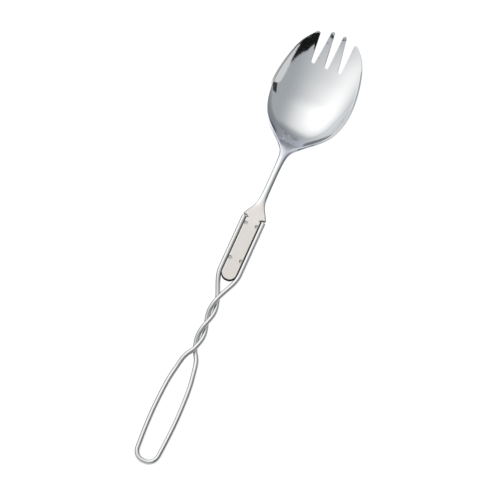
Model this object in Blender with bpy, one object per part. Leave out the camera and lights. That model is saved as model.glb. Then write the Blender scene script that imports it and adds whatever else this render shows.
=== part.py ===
"""A long serving spork: a forged steel head whose flat tongue lies between the two legs of a
twisted, looped wire handle. Metres, +Y towards the tines, +Z up, resting on its bowl and loop."""

import math

import bmesh
import bpy
import mathutils
import numpy as np

# Bowl and tines
BOWL_WIDTH = 0.0458
BOWL_LENGTH = 0.0725
RIM_HEIGHT = 0.0107
BOWL_WALL = 0.0012
TINE_TIP_THICKNESS = 0.0009
SLOT_LENGTH = 0.0177
SLOT_END_WIDTH = 0.0020
MIDDLE_SLOT_MOUTH = 0.0048
SIDE_SLOT_MOUTH = 0.0055
SIDE_SLOT_PLACE = 0.0077
INNER_TIP_WIDTH = 0.0019
OUTER_TIP_WIDTH = 0.0019
OUTER_TIP_SETBACK = 0.0021
TIP_ROUNDING = 0.0005

# Neck, flare and tongue
NECK_LENGTH = 0.0280
NECK_WIDTH = 0.0034
NECK_THICKNESS = 0.0027
NECK_HEIGHT = 0.0132
FLARE_LENGTH = 0.0110
TONGUE_LENGTH = 0.0353
TONGUE_WIDTH = 0.0074
TONGUE_END_LENGTH = 0.0044
PLATE_THICKNESS = 0.0018
SHOULDER_CORNER = 0.0006
EDGE_ROUNDING = 0.0003

# Punched stakes that swage the tongue's edges towards the wire
STAKE_WIDTH = 0.0020
STAKE_DEPTH = 0.0004
STAKE_INSET = 0.0007
STAKE_HALF_SPREAD = 0.0010
UPPER_STAKE_PLACE = 0.0034
LOWER_STAKE_PLACE = 0.0233

# Wire handle
WIRE_DIAMETER = 0.0023
SEAM_GAP = 0.0005
CLEARANCE = 0.0003
LEG_LENGTH = 0.0300
MERGE_LENGTH = 0.0162
CROSSING_PITCH = 0.0140
TWIST_OPENING = 0.0009
CROSSING_GAP = 0.0003
LOOP_LENGTH = 0.0643
LOOP_WIDTH = 0.0156
LOOP_END_LENGTH = 0.0056
WIRE_STEP = 0.0013
HALF_TURNS = 2

# Outline of the bowl: share of its length from the neck, share of its half width
BOWL_OUTLINE_SHARES = (
    (0.000, 0.118),
    (0.057, 0.222),
    (0.140, 0.503),
    (0.223, 0.755),
    (0.334, 0.926),
    (0.500, 1.000),
    (0.666, 0.949),
    (0.800, 0.845),
    (0.900, 0.692),
)
# How far the rim's outer edge stands beyond the middle of the metal, as a share of the wall
RIM_LEAN_SHARE = 0.36
# Outline of the flare: share of its length above the shoulder, share of its spread over the neck
FLARE_OUTLINE_SHARES = (
    (0.000, 1.000),
    (0.080, 0.975),
    (0.220, 0.860),
    (0.373, 0.660),
    (0.520, 0.445),
    (0.664, 0.273),
    (0.820, 0.145),
    (1.000, 0.070),
)
# Outline of the neck: share of its length, share of its half width
NECK_OUTLINE_SHARES = ((0.20, 1.02), (0.50, 1.00), (0.75, 1.06), (0.93, 1.30))
# Keel of the bowl in side view: share of its length, share of the rim's height above the floor
KEEL_SHARES = (
    (0.070, 0.970),
    (0.150, 0.590),
    (0.260, 0.218),
    (0.360, 0.057),
    (0.450, 0.0015),
    (0.540, 0.107),
    (0.650, 0.306),
    (0.720, 0.459),
    (0.800, 0.649),
    (0.870, 0.841),
    (0.940, 1.064),
    (1.000, 1.306),
)
# Rim of the bowl in side view: the same shares
RIM_SHARES = (
    (0.070, 1.135),
    (0.250, 1.045),
    (0.450, 0.990),
    (0.600, 0.992),
    (0.700, 1.007),
    (0.800, 1.053),
    (0.880, 1.118),
    (0.940, 1.184),
    (1.000, 1.268),
)
# Cross-section of the bowl: shares of the rise taken by the square and fourth power of the width
SQUARE_SHARE, FOURTH_SHARE = 0.62, 0.38
# Thickness at an edge as a share of that at the centre line
BOWL_EDGE_SHARE, NECK_EDGE_SHARE, PLATE_EDGE_SHARE = 0.90, 0.40, 1.0
# Half width of the loop's centre line: share of its length from the last crossing, share of width
LOOP_SIDE_SHARES = (
    (0.063, 0.350),
    (0.162, 0.650),
    (0.293, 0.862),
    (0.425, 0.958),
    (0.600, 1.000),
    (0.790, 0.945),
    (1.000, 0.810),
)
# How far the shoulder covers the wire's end, as a share of the wire's radius
SHOULDER_COVER_SHARE = 0.78
# Roundness of the tongue's and the loop's ends: 2 is an ellipse
END_SQUARENESS = 2.3
# Share of a row left off the tongue's round end, so that its last row keeps a width
BLUNT_SHARE = 0.4
# Share of the neck, and of the bowl, over which one runs into the other
BLEND_SHARE = 0.25
# Shares of the neck and of the bowl where the rows along the head change their spacing
NECK_ROWS_SHARE, HEEL_ROWS_SHARE = 0.875, 0.33
# Edges that turn more than the first are rounded, those that turn more than the second look sharp
ROUNDED_TURN, SHARP_TURN = math.radians(50), math.radians(40)

# Rows along the head, cells across half of it, and facets round a punch
END_ROW_COUNT = 5
TONGUE_ROW_COUNT = 2
STAKE_ROW_COUNT = 4
FLARE_ROW_COUNT = 6
NECK_ROW_COUNT = 6
HEEL_ROW_COUNT = 9
BOWL_ROW_COUNT = 9
SLOT_END_ROW_COUNT = 3
TINE_ROW_COUNT = 5
INNER_CELL_COUNT = 3
FLANK_CELL_COUNT = 3
OUTER_CELL_COUNT = 3
PUNCH_FACET_COUNT = 16
GRID_HALF = 0.5
WELD = 0.000001

# Places worked out from the sizes; heights of the handle are those of its centre line
WIRE_RADIUS = WIRE_DIAMETER / 2
LEG_PLACE = TONGUE_WIDTH / 2 + SEAM_GAP + WIRE_RADIUS
SHOULDER_HALF = LEG_PLACE + SHOULDER_COVER_SHARE * WIRE_RADIUS
HEAD_REACH = FLARE_LENGTH + NECK_LENGTH + BOWL_LENGTH
TWIST_LENGTH = HALF_TURNS * CROSSING_PITCH
HANDLE_REACH = LEG_LENGTH + MERGE_LENGTH + TWIST_LENGTH + LOOP_LENGTH
SHOULDER_Y = (HANDLE_REACH - HEAD_REACH) / 2
NECK_Y = SHOULDER_Y + FLARE_LENGTH
BOWL_Y = NECK_Y + NECK_LENGTH
TIP_Y = SHOULDER_Y + HEAD_REACH
SLOT_Y = TIP_Y - SLOT_LENGTH
BEND_Y = SHOULDER_Y - LEG_LENGTH
FIRST_CROSSING_Y = BEND_Y - MERGE_LENGTH
LAST_CROSSING_Y = FIRST_CROSSING_Y - TWIST_LENGTH
LOOP_END_Y = LAST_CROSSING_Y - LOOP_LENGTH + WIRE_RADIUS
HANDLE_SLOPE = (NECK_HEIGHT - WIRE_RADIUS) / (BOWL_Y - NECK_LENGTH / 2 - LOOP_END_Y)
TWIST_HALF = (WIRE_DIAMETER + TWIST_OPENING) / 2
TWIST_LIFT = (WIRE_DIAMETER + CROSSING_GAP) / 2
TWIST_SLOPE = TWIST_HALF * math.pi / CROSSING_PITCH
LOOP_HALF = (LOOP_WIDTH - WIRE_DIAMETER) / 2
LOOP_REACH = LAST_CROSSING_Y - LOOP_END_Y


def clear_scene():
    for existing in list(bpy.data.objects):
        bpy.data.objects.remove(existing, do_unlink=True)


def new_collection(name):
    collection = bpy.data.collections.new(name)
    bpy.context.scene.collection.children.link(collection)
    return collection


def steel(name, colour, roughness):
    material = bpy.data.materials.new(name)
    material.use_nodes = True
    shader = material.node_tree.nodes["Principled BSDF"]
    shader.inputs["Base Color"].default_value = (*colour, 1)
    shader.inputs["Metallic"].default_value = 1
    shader.inputs["Roughness"].default_value = roughness
    return material


def smooth_curve(points, start_slope=None):
    """A cubic that runs through the points with a steady bend, straight at a free end."""
    places, values = np.array(points, float).T
    gaps = np.diff(places)
    slopes = np.diff(values) / gaps
    count = len(places)
    system, right = np.eye(count), np.zeros(count)
    for i in range(1, count - 1):
        system[i, i - 1 : i + 2] = gaps[i - 1], 2 * (gaps[i - 1] + gaps[i]), gaps[i]
        right[i] = 6 * (slopes[i] - slopes[i - 1])
    if start_slope is not None:
        system[0, :2] = 2 * gaps[0], gaps[0]
        right[0] = 6 * (slopes[0] - start_slope)
    bends = np.linalg.solve(system, right)

    def value_at(place):
        i = int(np.clip(np.searchsorted(places, place) - 1, 0, count - 2))
        gap, before, after = gaps[i], places[i + 1] - place, place - places[i]
        curved = (bends[i] * before**3 + bends[i + 1] * after**3) / (6 * gap)
        start = values[i] / gap - bends[i] * gap / 6
        end = values[i + 1] / gap - bends[i + 1] * gap / 6
        return curved + start * before + end * after

    return value_at


def ease(share):
    """0 to 1 with a level start and end."""
    share = min(max(share, 0), 1)
    return share * share * (3 - 2 * share)


def superellipse(angle):
    """Shares of the two half axes of a rounded end at an angle from 0 to a quarter turn."""
    power = 2 / END_SQUARENESS
    return max(math.cos(angle), 0) ** power, math.sin(angle) ** power


def handle_height(y):
    """Height of the straight handle's centre line."""
    return WIRE_RADIUS + HANDLE_SLOPE * (y - LOOP_END_Y)


def side_slot_mouth():
    """Inner and outer edge of a side slot at the tips."""
    inner = MIDDLE_SLOT_MOUTH / 2 + INNER_TIP_WIDTH
    return inner, inner + SIDE_SLOT_MOUTH


def outline_points():
    """(y, half width) of the head's outline from the shoulder to the outer tine's tip."""
    neck_half = NECK_WIDTH / 2
    growth = SHOULDER_HALF - neck_half
    bowl_half = BOWL_WIDTH / 2 - RIM_LEAN_SHARE * BOWL_WALL
    flare = [
        (SHOULDER_Y + along * FLARE_LENGTH, neck_half + out * growth)
        for along, out in FLARE_OUTLINE_SHARES
    ]
    neck = [(NECK_Y + along * NECK_LENGTH, out * neck_half) for along, out in NECK_OUTLINE_SHARES]
    bowl = [(BOWL_Y + along * BOWL_LENGTH, out * bowl_half) for along, out in BOWL_OUTLINE_SHARES]
    tip = (TIP_Y - OUTER_TIP_SETBACK - TIP_ROUNDING, side_slot_mouth()[1] + OUTER_TIP_WIDTH)
    return flare + neck + bowl + [tip]


OUTLINE = smooth_curve(outline_points())
SIDE_SHARE = SIDE_SLOT_PLACE / OUTLINE(SLOT_Y)


def keel_points():
    """(y, height) of the middle of the metal along the head's centre line."""
    floor = BOWL_WALL / 2
    rise = RIM_HEIGHT - floor
    straight = [SHOULDER_Y - TONGUE_LENGTH, SHOULDER_Y, NECK_Y, BOWL_Y - NECK_LENGTH / 2]
    handle = [(y, handle_height(y)) for y in straight]
    bowl = [(BOWL_Y + along * BOWL_LENGTH, floor + up * rise) for along, up in KEEL_SHARES]
    return handle + bowl


def rim_points():
    floor = BOWL_WALL / 2
    rise = RIM_HEIGHT - floor
    return [(BOWL_Y + along * BOWL_LENGTH, floor + up * rise) for along, up in RIM_SHARES]


def loop_side_points():
    """(distance below the last crossing, half width) of the loop's centre line."""
    sides = [(along * LOOP_REACH, out * LOOP_HALF) for along, out in LOOP_SIDE_SHARES]
    return [(0, 0)] + sides


KEEL = smooth_curve(keel_points())
RIM = smooth_curve(rim_points())
LOOP_SIDE = smooth_curve(loop_side_points(), start_slope=TWIST_SLOPE)


def bowl_rise(y):
    """How far the rim stands over the keel: nothing on the neck, the plate and the tongue."""
    start = BOWL_Y - BLEND_SHARE * NECK_LENGTH
    full = BOWL_Y + KEEL_SHARES[1][0] * BOWL_LENGTH
    return max(RIM(y) - KEEL(y), 0) * ease((y - start) / (full - start)) if y > start else 0


def half_width(y):
    """Half width of the head's outline at y, above the shoulder."""
    width = OUTLINE(min(y, TIP_Y - OUTER_TIP_SETBACK - TIP_ROUNDING))
    into = 1 - (y - SHOULDER_Y) / SHOULDER_CORNER
    if into > 0:
        width -= SHOULDER_CORNER * (1 - math.sqrt(max(1 - into * into, 0)))
    return width


def tongue_half(y):
    """Half width of the tongue, with the lips that the stakes push towards the wire."""
    half = TONGUE_WIDTH / 2
    for place in (UPPER_STAKE_PLACE, LOWER_STAKE_PLACE):
        away = (SHOULDER_Y - place - y) / STAKE_HALF_SPREAD
        half += (SEAM_GAP - CLEARANCE) * math.exp(-away * away)
    return half


def slot_half(y, mouth_half):
    """Half width of a slot at y: a round end that opens steadily to its mouth."""
    end_radius = SLOT_END_WIDTH / 2
    into = y - SLOT_Y
    if into <= 0:
        return 0
    if into < end_radius:
        return math.sqrt(end_radius**2 - (end_radius - into) ** 2)
    share = (into - end_radius) / (SLOT_LENGTH - end_radius)
    return end_radius + share * (mouth_half - end_radius)


def slot_edges(y):
    """Half width of the middle slot, and the inner and outer edge of the side slot, at y."""
    inner, outer = side_slot_mouth()
    share = max(y - SLOT_Y, 0) / SLOT_LENGTH
    centre = SIDE_SLOT_PLACE + share * ((inner + outer) / 2 - SIDE_SLOT_PLACE)
    if y <= SLOT_Y:
        centre = SIDE_SHARE * half_width(y)
    half = slot_half(y, (outer - inner) / 2)
    return slot_half(y, MIDDLE_SLOT_MOUTH / 2), centre - half, centre + half


def row_bounds(y):
    """Where the bands of cells begin and end across half of the head at y."""
    if y < SHOULDER_Y:
        edge = tongue_half(y) * END_WIDTHS.get(y, 1)
        return 0, SIDE_SHARE * edge, SIDE_SHARE * edge, edge, edge
    middle, inner, outer = slot_edges(y)
    width = half_width(y)
    tongue_share = TONGUE_WIDTH / 2 / SHOULDER_HALF
    flank_share = (tongue_share - SIDE_SHARE) / (1 - SIDE_SHARE)
    return middle, inner, outer, outer + flank_share * (width - outer), width


def spread(start, end, rows):
    """The rows' places after start, up to and with end."""
    return [start + (end - start) * (i + 1) / rows for i in range(rows)]


def rounded_end_rows():
    """Rows of the tongue's end, and the share of its width that each has."""
    start = SHOULDER_Y - TONGUE_LENGTH + TONGUE_END_LENGTH
    widths = {}
    for i in range(END_ROW_COUNT, 0, -1):
        across, along = superellipse(math.pi / 2 * i / (END_ROW_COUNT + BLUNT_SHARE))
        widths[start - along * TONGUE_END_LENGTH] = across
    return widths


END_WIDTHS = rounded_end_rows()


def head_rows():
    """y of each row of the head, from the tongue's end to the straight part of the tines."""
    rows = list(END_WIDTHS)
    rows.append(SHOULDER_Y - TONGUE_LENGTH + TONGUE_END_LENGTH)
    for place in (LOWER_STAKE_PLACE, UPPER_STAKE_PLACE):
        y = SHOULDER_Y - place
        rows += spread(rows[-1], y - 2 * STAKE_HALF_SPREAD, TONGUE_ROW_COUNT)
        rows += spread(rows[-1], y + 2 * STAKE_HALF_SPREAD, STAKE_ROW_COUNT)
    rows.append(SHOULDER_Y - WELD)
    rows += [SHOULDER_Y, SHOULDER_Y + SHOULDER_CORNER / 3, SHOULDER_Y + SHOULDER_CORNER]
    rows += spread(rows[-1], NECK_Y, FLARE_ROW_COUNT)
    rows += spread(rows[-1], NECK_Y + NECK_ROWS_SHARE * NECK_LENGTH, NECK_ROW_COUNT)
    rows += spread(rows[-1], BOWL_Y + HEEL_ROWS_SHARE * BOWL_LENGTH, HEEL_ROW_COUNT)
    rows += spread(rows[-1], SLOT_Y, BOWL_ROW_COUNT)
    for i in range(1, SLOT_END_ROW_COUNT + 1):
        turn = math.pi / 2 * i / SLOT_END_ROW_COUNT
        rows.append(SLOT_Y + SLOT_END_WIDTH / 2 * (1 - math.cos(turn)))
    return rows


def tine_front(band, share):
    """y of a tine's rounded front, where share runs from -1 to 1 across it."""
    back = TIP_ROUNDING * abs(share) ** END_SQUARENESS
    return TIP_Y - back - (0 if band == "inner" else OUTER_TIP_SETBACK)


def column_list():
    """(band, share within the band) of each column across half of the head."""
    inner = [("inner", i / INNER_CELL_COUNT) for i in range(INNER_CELL_COUNT + 1)]
    flank = [("flank", i / FLANK_CELL_COUNT) for i in range(FLANK_CELL_COUNT + 1)]
    outer = [("outer", (i + 1) / OUTER_CELL_COUNT) for i in range(OUTER_CELL_COUNT)]
    return [("centre", 0)] + inner + flank + outer


def column_x(band, share, y):
    """Distance from the centre line of a column at y."""
    middle, inner, outer, edge, width = row_bounds(y)
    start, end = {
        "centre": (0, 0),
        "inner": (middle, inner),
        "flank": (outer, edge),
        "outer": (edge, width),
    }[band]
    return start + share * (end - start)


def front_share(band, share):
    """Where a column lies across its tine's front, from -1 to 1."""
    if band == "inner":
        return 2 * share - 1
    cells = FLANK_CELL_COUNT + OUTER_CELL_COUNT
    done = share * FLANK_CELL_COUNT
    if band != "flank":
        done = FLANK_CELL_COUNT + share * OUTER_CELL_COUNT
    return 2 * done / cells - 1


def metal_middle(x, y):
    """Height of the middle of the metal."""
    across = min(abs(x) / half_width(y), 1) if y > SHOULDER_Y else 0
    return KEEL(y) + bowl_rise(y) * (SQUARE_SHARE * across**2 + FOURTH_SHARE * across**4)


def half_thickness(x, y):
    """Half the thickness of the metal: flat plate, rounded neck, thin bowl, thinner tine tips."""
    to_neck = ease((y - SHOULDER_Y) / (FLARE_LENGTH + BLEND_SHARE * NECK_LENGTH))
    heel_start = BOWL_Y - BLEND_SHARE * NECK_LENGTH
    to_bowl = ease((y - heel_start) / (BLEND_SHARE * (BOWL_LENGTH + NECK_LENGTH)))
    to_tip = ease((y - SLOT_Y) / SLOT_LENGTH)
    thickness = PLATE_THICKNESS + to_neck * (NECK_THICKNESS - PLATE_THICKNESS)
    thickness += to_bowl * (BOWL_WALL - NECK_THICKNESS) + to_tip * (TINE_TIP_THICKNESS - BOWL_WALL)
    edge = PLATE_EDGE_SHARE + to_neck * (NECK_EDGE_SHARE - PLATE_EDGE_SHARE)
    edge += to_bowl * (BOWL_EDGE_SHARE - NECK_EDGE_SHARE)
    across = min(abs(x) / half_width(y), 1) if y > SHOULDER_Y else 0
    return thickness / 2 * math.sqrt(1 - (1 - edge**2) * across**2)


def cell_is_open(column, row, columns, rows):
    """Whether a cell of the half grid is slot or air: it gets no metal."""
    left, right = columns[column][0], columns[column + 1][0]
    if left == "centre" or (left, right) == ("inner", "flank"):
        return True
    beyond_tongue = left == "outer" or right == "outer"
    return beyond_tongue and row + 1 < len(rows) and rows[row + 1] <= SHOULDER_Y


def half_middle_surface():
    """Half of the surface in the middle of the head's metal, as a grid laid onto its outline."""
    rows, columns = head_rows(), column_list()
    total = len(rows) + TINE_ROW_COUNT
    bm = bmesh.new()
    bmesh.ops.create_grid(bm, x_segments=len(columns) - 1, y_segments=total - 1, size=GRID_HALF)
    places = {}
    for vert in bm.verts:
        along, up = (vert.co.xy / GRID_HALF + mathutils.Vector((1, 1))) / 2
        places[vert] = (round(along * (len(columns) - 1)), round(up * (total - 1)))
    unwanted = []
    for face in bm.faces:
        column = min(places[vert][0] for vert in face.verts)
        row = min(places[vert][1] for vert in face.verts)
        if cell_is_open(column, row, columns, rows):
            unwanted.append(face)
    bmesh.ops.delete(bm, geom=unwanted, context="FACES")
    for vert in bm.verts:
        band, share = columns[places[vert][0]]
        row = places[vert][1]
        y = rows[min(row, len(rows) - 1)]
        if row >= len(rows):
            front = tine_front(band, front_share(band, share))
            y += (front - y) * (row - len(rows) + 1) / TINE_ROW_COUNT
        x = column_x(band, share, y)
        vert.co = (x, y, metal_middle(x, y))
    return bm


def head_mesh():
    """The whole head: the middle surface mirrored, thickened both ways, its edges rounded."""
    bm = half_middle_surface()
    bmesh.ops.remove_doubles(bm, verts=bm.verts[:], dist=2 * WELD)
    bmesh.ops.mirror(bm, geom=bm.verts[:] + bm.edges[:] + bm.faces[:], axis="X", merge_dist=WELD)
    bmesh.ops.recalc_face_normals(bm, faces=bm.faces[:])
    if sum(face.normal.z for face in bm.faces) < 0:
        bmesh.ops.reverse_faces(bm, faces=bm.faces[:])
    bm.normal_update()
    lower = bm.verts[:]
    offsets = {tuple(v.co): v.normal * half_thickness(v.co.x, v.co.y) for v in lower}
    grown = bmesh.ops.extrude_face_region(bm, geom=bm.faces[:], use_keep_orig=True)
    upper = [item for item in grown["geom"] if isinstance(item, bmesh.types.BMVert)]
    for verts, side in ((lower, -1), (upper, 1)):
        for vert in verts:
            vert.co += side * offsets[tuple(vert.co)]
    bmesh.ops.recalc_face_normals(bm, faces=bm.faces[:])
    round_edges(bm)
    mesh = bpy.data.meshes.new("spork_head")
    bm.to_mesh(mesh)
    bm.free()
    return mesh


def round_edges(bm):
    """Rounds the rim, the slots' edges and the plate's edges."""
    sharp = [
        edge
        for edge in bm.edges
        if edge.is_manifold and edge.is_convex and edge.calc_face_angle(0) > ROUNDED_TURN
    ]
    bmesh.ops.bevel(
        bm,
        geom=sharp,
        offset=EDGE_ROUNDING,
        offset_type="OFFSET",
        segments=2,
        profile=0.5,
        affect="EDGES",
        clamp_overlap=True,
        material=-1,
    )


def stake_punches(cutters):
    """Balls whose lowest caps press the four stakes into the tongue's front face."""
    radius = (STAKE_WIDTH**2 / 4 + STAKE_DEPTH**2) / (2 * STAKE_DEPTH)
    punches = []
    for place in (UPPER_STAKE_PLACE, LOWER_STAKE_PLACE):
        for side in (-1, 1):
            y = SHOULDER_Y - place
            top = handle_height(y) + PLATE_THICKNESS / 2
            x = side * (TONGUE_WIDTH / 2 - STAKE_INSET)
            bpy.ops.mesh.primitive_uv_sphere_add(
                segments=PUNCH_FACET_COUNT,
                ring_count=PUNCH_FACET_COUNT,
                radius=radius,
                location=(x, y, top + radius - STAKE_DEPTH),
            )
            punch = bpy.context.object
            punch.name = f"stake_punch_{len(punches) + 1}"
            punch.hide_render = True
            punch.display_type = "WIRE"
            move_to(punch, cutters)
            punches.append(punch)
    return punches


def move_to(thing, collection):
    for owner in list(thing.users_collection):
        owner.objects.unlink(thing)
    collection.objects.link(thing)


def build_head(parts, cutters):
    head = bpy.data.objects.new("spork_head", head_mesh())
    parts.objects.link(head)
    head.data.materials.append(steel("polished_steel", (0.78, 0.79, 0.80), 0.08))
    for punch in stake_punches(cutters):
        cut = head.modifiers.new(punch.name, "BOOLEAN")
        cut.operation = "DIFFERENCE"
        cut.solver = "EXACT"
        cut.object = punch
    head.data.shade_smooth()
    head.data.set_sharp_from_angle(angle=SHARP_TURN)
    return head


def right_leg_offset(y):
    """(x, height over the handle's plane) of the strand that starts as the right leg."""
    if y >= BEND_Y:
        return LEG_PLACE, 0
    if y > FIRST_CROSSING_Y:
        share = (y - FIRST_CROSSING_Y) / MERGE_LENGTH
        leave = MERGE_LENGTH * TWIST_SLOPE * share * (1 - share) ** 2
        return leave + LEG_PLACE * ease(share), TWIST_LIFT * (1 - ease(share))
    if y >= LAST_CROSSING_Y:
        turn = math.pi / 2 + math.pi * (FIRST_CROSSING_Y - y) / CROSSING_PITCH
        return TWIST_HALF * math.cos(turn), TWIST_LIFT * math.sin(turn)
    below = LAST_CROSSING_Y - y
    return -LOOP_SIDE(below), TWIST_LIFT * (1 - ease(below / CROSSING_PITCH))


def strand_rows():
    """y of the wire's points from its end under the shoulder to the start of the loop's end."""
    rows = [SHOULDER_Y - CLEARANCE]
    stops = (
        (BEND_Y, 4 * WIRE_STEP),
        (LAST_CROSSING_Y - CROSSING_PITCH, WIRE_STEP),
        (LOOP_END_Y + LOOP_END_LENGTH, 2 * WIRE_STEP),
    )
    for stop, step in stops:
        rows += spread(rows[-1], stop, max(round((rows[-1] - stop) / step), 1))
    return rows


def wire_path():
    """The wire's centre line: down the right leg, round the loop and up to the left leg."""
    rows = strand_rows()
    down, up = [], []
    for y in rows:
        x, lift = right_leg_offset(y)
        down.append((x, y, handle_height(y) + lift))
        up.append((-x, y, handle_height(y) - lift))
    end_steps = 2 * max(round(math.pi * LOOP_END_LENGTH / 4 / WIRE_STEP), 2)
    bend = []
    for i in range(1, 2 * end_steps):
        across, along = superellipse(math.pi / 2 * min(i, 2 * end_steps - i) / end_steps)
        y = rows[-1] - along * LOOP_END_LENGTH
        side = -1 if i < end_steps else 1
        x = side * LOOP_SIDE(LAST_CROSSING_Y - y) * across
        bend.append((x, y, handle_height(y)))
    return down + bend + up[::-1]


def build_wire(parts):
    curve = bpy.data.curves.new("wire_handle", "CURVE")
    curve.dimensions = "3D"
    curve.bevel_depth = WIRE_RADIUS
    curve.bevel_resolution = 2
    curve.use_fill_caps = True
    path = wire_path()
    spline = curve.splines.new("POLY")
    spline.points.add(len(path) - 1)
    for point, place in zip(spline.points, path):
        point.co = (*place, 1)
    wire = bpy.data.objects.new("wire_handle", curve)
    wire.data.materials.append(steel("bright_wire", (0.74, 0.75, 0.76), 0.12))
    parts.objects.link(wire)
    return wire


def main():
    clear_scene()
    parts = new_collection("spork")
    cutters = new_collection("cutters")
    cutters.hide_render = True
    build_head(parts, cutters)
    build_wire(parts)


main()
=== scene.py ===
"""Visual model of a long serving spork: a polished steel head and a twisted wire handle.

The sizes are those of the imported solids, in millimetres, with +Y towards the tines and +Z up.
"""

import logging
import math
from abc import ABC, abstractmethod
from dataclasses import dataclass
from enum import Enum
from typing import Dict, List, Optional, Sequence, Set, Tuple, Union

import bmesh
import bpy
import numpy as np
from mathutils import Matrix, Vector


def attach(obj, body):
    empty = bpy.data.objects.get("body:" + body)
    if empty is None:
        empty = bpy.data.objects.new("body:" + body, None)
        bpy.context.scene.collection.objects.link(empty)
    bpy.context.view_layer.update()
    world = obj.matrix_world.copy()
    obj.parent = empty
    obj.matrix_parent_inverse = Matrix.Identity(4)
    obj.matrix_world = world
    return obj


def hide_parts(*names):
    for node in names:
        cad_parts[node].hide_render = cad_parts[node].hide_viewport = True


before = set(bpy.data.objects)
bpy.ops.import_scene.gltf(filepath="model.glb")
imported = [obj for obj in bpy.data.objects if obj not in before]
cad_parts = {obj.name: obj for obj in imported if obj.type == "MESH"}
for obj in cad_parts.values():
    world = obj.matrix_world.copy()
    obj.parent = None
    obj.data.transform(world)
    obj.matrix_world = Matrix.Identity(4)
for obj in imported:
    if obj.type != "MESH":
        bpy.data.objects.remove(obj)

MM = 0.001
PHOTO_WIDTH = 500
Pair = Tuple[float, float]
Place = Tuple[float, float, float]
Table = Tuple[Pair, ...]
Shares = Tuple[float, ...]
Socket = bpy.types.NodeSocket
Value = Union["Number", float]
log = logging.getLogger("spork")


class Band(Enum):
    """Strips of the head's half width, from the centre line outwards."""

    CENTRE = "centre"
    INNER = "inner"
    FLANK = "flank"
    OUTER = "outer"


class Strand(Enum):
    """The two strands of the twist, by the sign of the leg that each comes from."""

    FROM_RIGHT = 1
    FROM_LEFT = -1


def ease(share: float) -> float:
    """Goes from 0 to 1 with a level start and end."""
    share = min(max(share, 0.0), 1.0)
    return share * share * (3 - 2 * share)


def steps(start: float, end: float, size: float) -> List[float]:
    """Even places after start, up to and with end, about a size apart."""
    count = max(round(abs(end - start) / size), 1)
    return [start + (end - start) * (i + 1) / count for i in range(count)]


def quarter_turn(count: int) -> List[float]:
    """Angles of a quarter turn in even steps, up to and with its end."""
    return [math.pi / 2 * (i + 1) / count for i in range(count)]


class SmoothCurve:
    """A cubic that runs through a few points with a steady bend, straight at a free end."""

    def __init__(self, points: Sequence[Pair], start_slope: Optional[float] = None) -> None:
        """Solves for the bends.

        Args:
            points: Place and value of each point, in order of place.
            start_slope: The slope at the first point, or None to leave that end free.
        """
        self.places, self.values = np.array(points, float).T
        self.gaps = np.diff(self.places)
        slopes = np.diff(self.values) / self.gaps
        count = len(self.places)
        system, right = np.eye(count), np.zeros(count)
        for i in range(1, count - 1):
            before, after = self.gaps[i - 1], self.gaps[i]
            system[i, i - 1 : i + 2] = before, 2 * (before + after), after
            right[i] = 6 * (slopes[i] - slopes[i - 1])
        if start_slope is not None:
            system[0, :2] = 2 * self.gaps[0], self.gaps[0]
            right[0] = 6 * (slopes[0] - start_slope)
        self.bends = np.linalg.solve(system, right)

    def __call__(self, place: float) -> float:
        """Reads the curve.

        Args:
            place: Where to read it.

        Returns:
            Its value there.
        """
        last = len(self.places) - 2
        i = min(max(int(np.searchsorted(self.places, place)) - 1, 0), last)
        gap = self.gaps[i]
        before, after = self.places[i + 1] - place, place - self.places[i]
        curved = (self.bends[i] * before**3 + self.bends[i + 1] * after**3) / (6 * gap)
        start = self.values[i] / gap - self.bends[i] * gap / 6
        end = self.values[i + 1] / gap - self.bends[i + 1] * gap / 6
        return float(curved + start * before + end * after)


class Number:
    """A shader socket that Python's operators can work on."""

    def __init__(self, nodes: "NodeSet", socket: Socket) -> None:
        """Wraps a socket of a node set."""
        self.nodes = nodes
        self.socket = socket

    def __add__(self, other: Value) -> "Number":
        """Sum."""
        return self.nodes.math("ADD", self, other)

    def __mul__(self, other: Value) -> "Number":
        """Product."""
        return self.nodes.math("MULTIPLY", self, other)

    def __sub__(self, other: Value) -> "Number":
        """Difference."""
        return self.nodes.math("SUBTRACT", self, other)

    def __rsub__(self, other: float) -> "Number":
        """Difference from a plain number."""
        return self.nodes.math("SUBTRACT", other, self)

    def __truediv__(self, other: Value) -> "Number":
        """Quotient."""
        return self.nodes.math("DIVIDE", self, other)

    def __pow__(self, other: float) -> "Number":
        """Power."""
        return self.nodes.math("POWER", self, other)

    __radd__ = __add__
    __rmul__ = __mul__


Input = Union[Number, float, Sequence[float], Socket]


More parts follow.
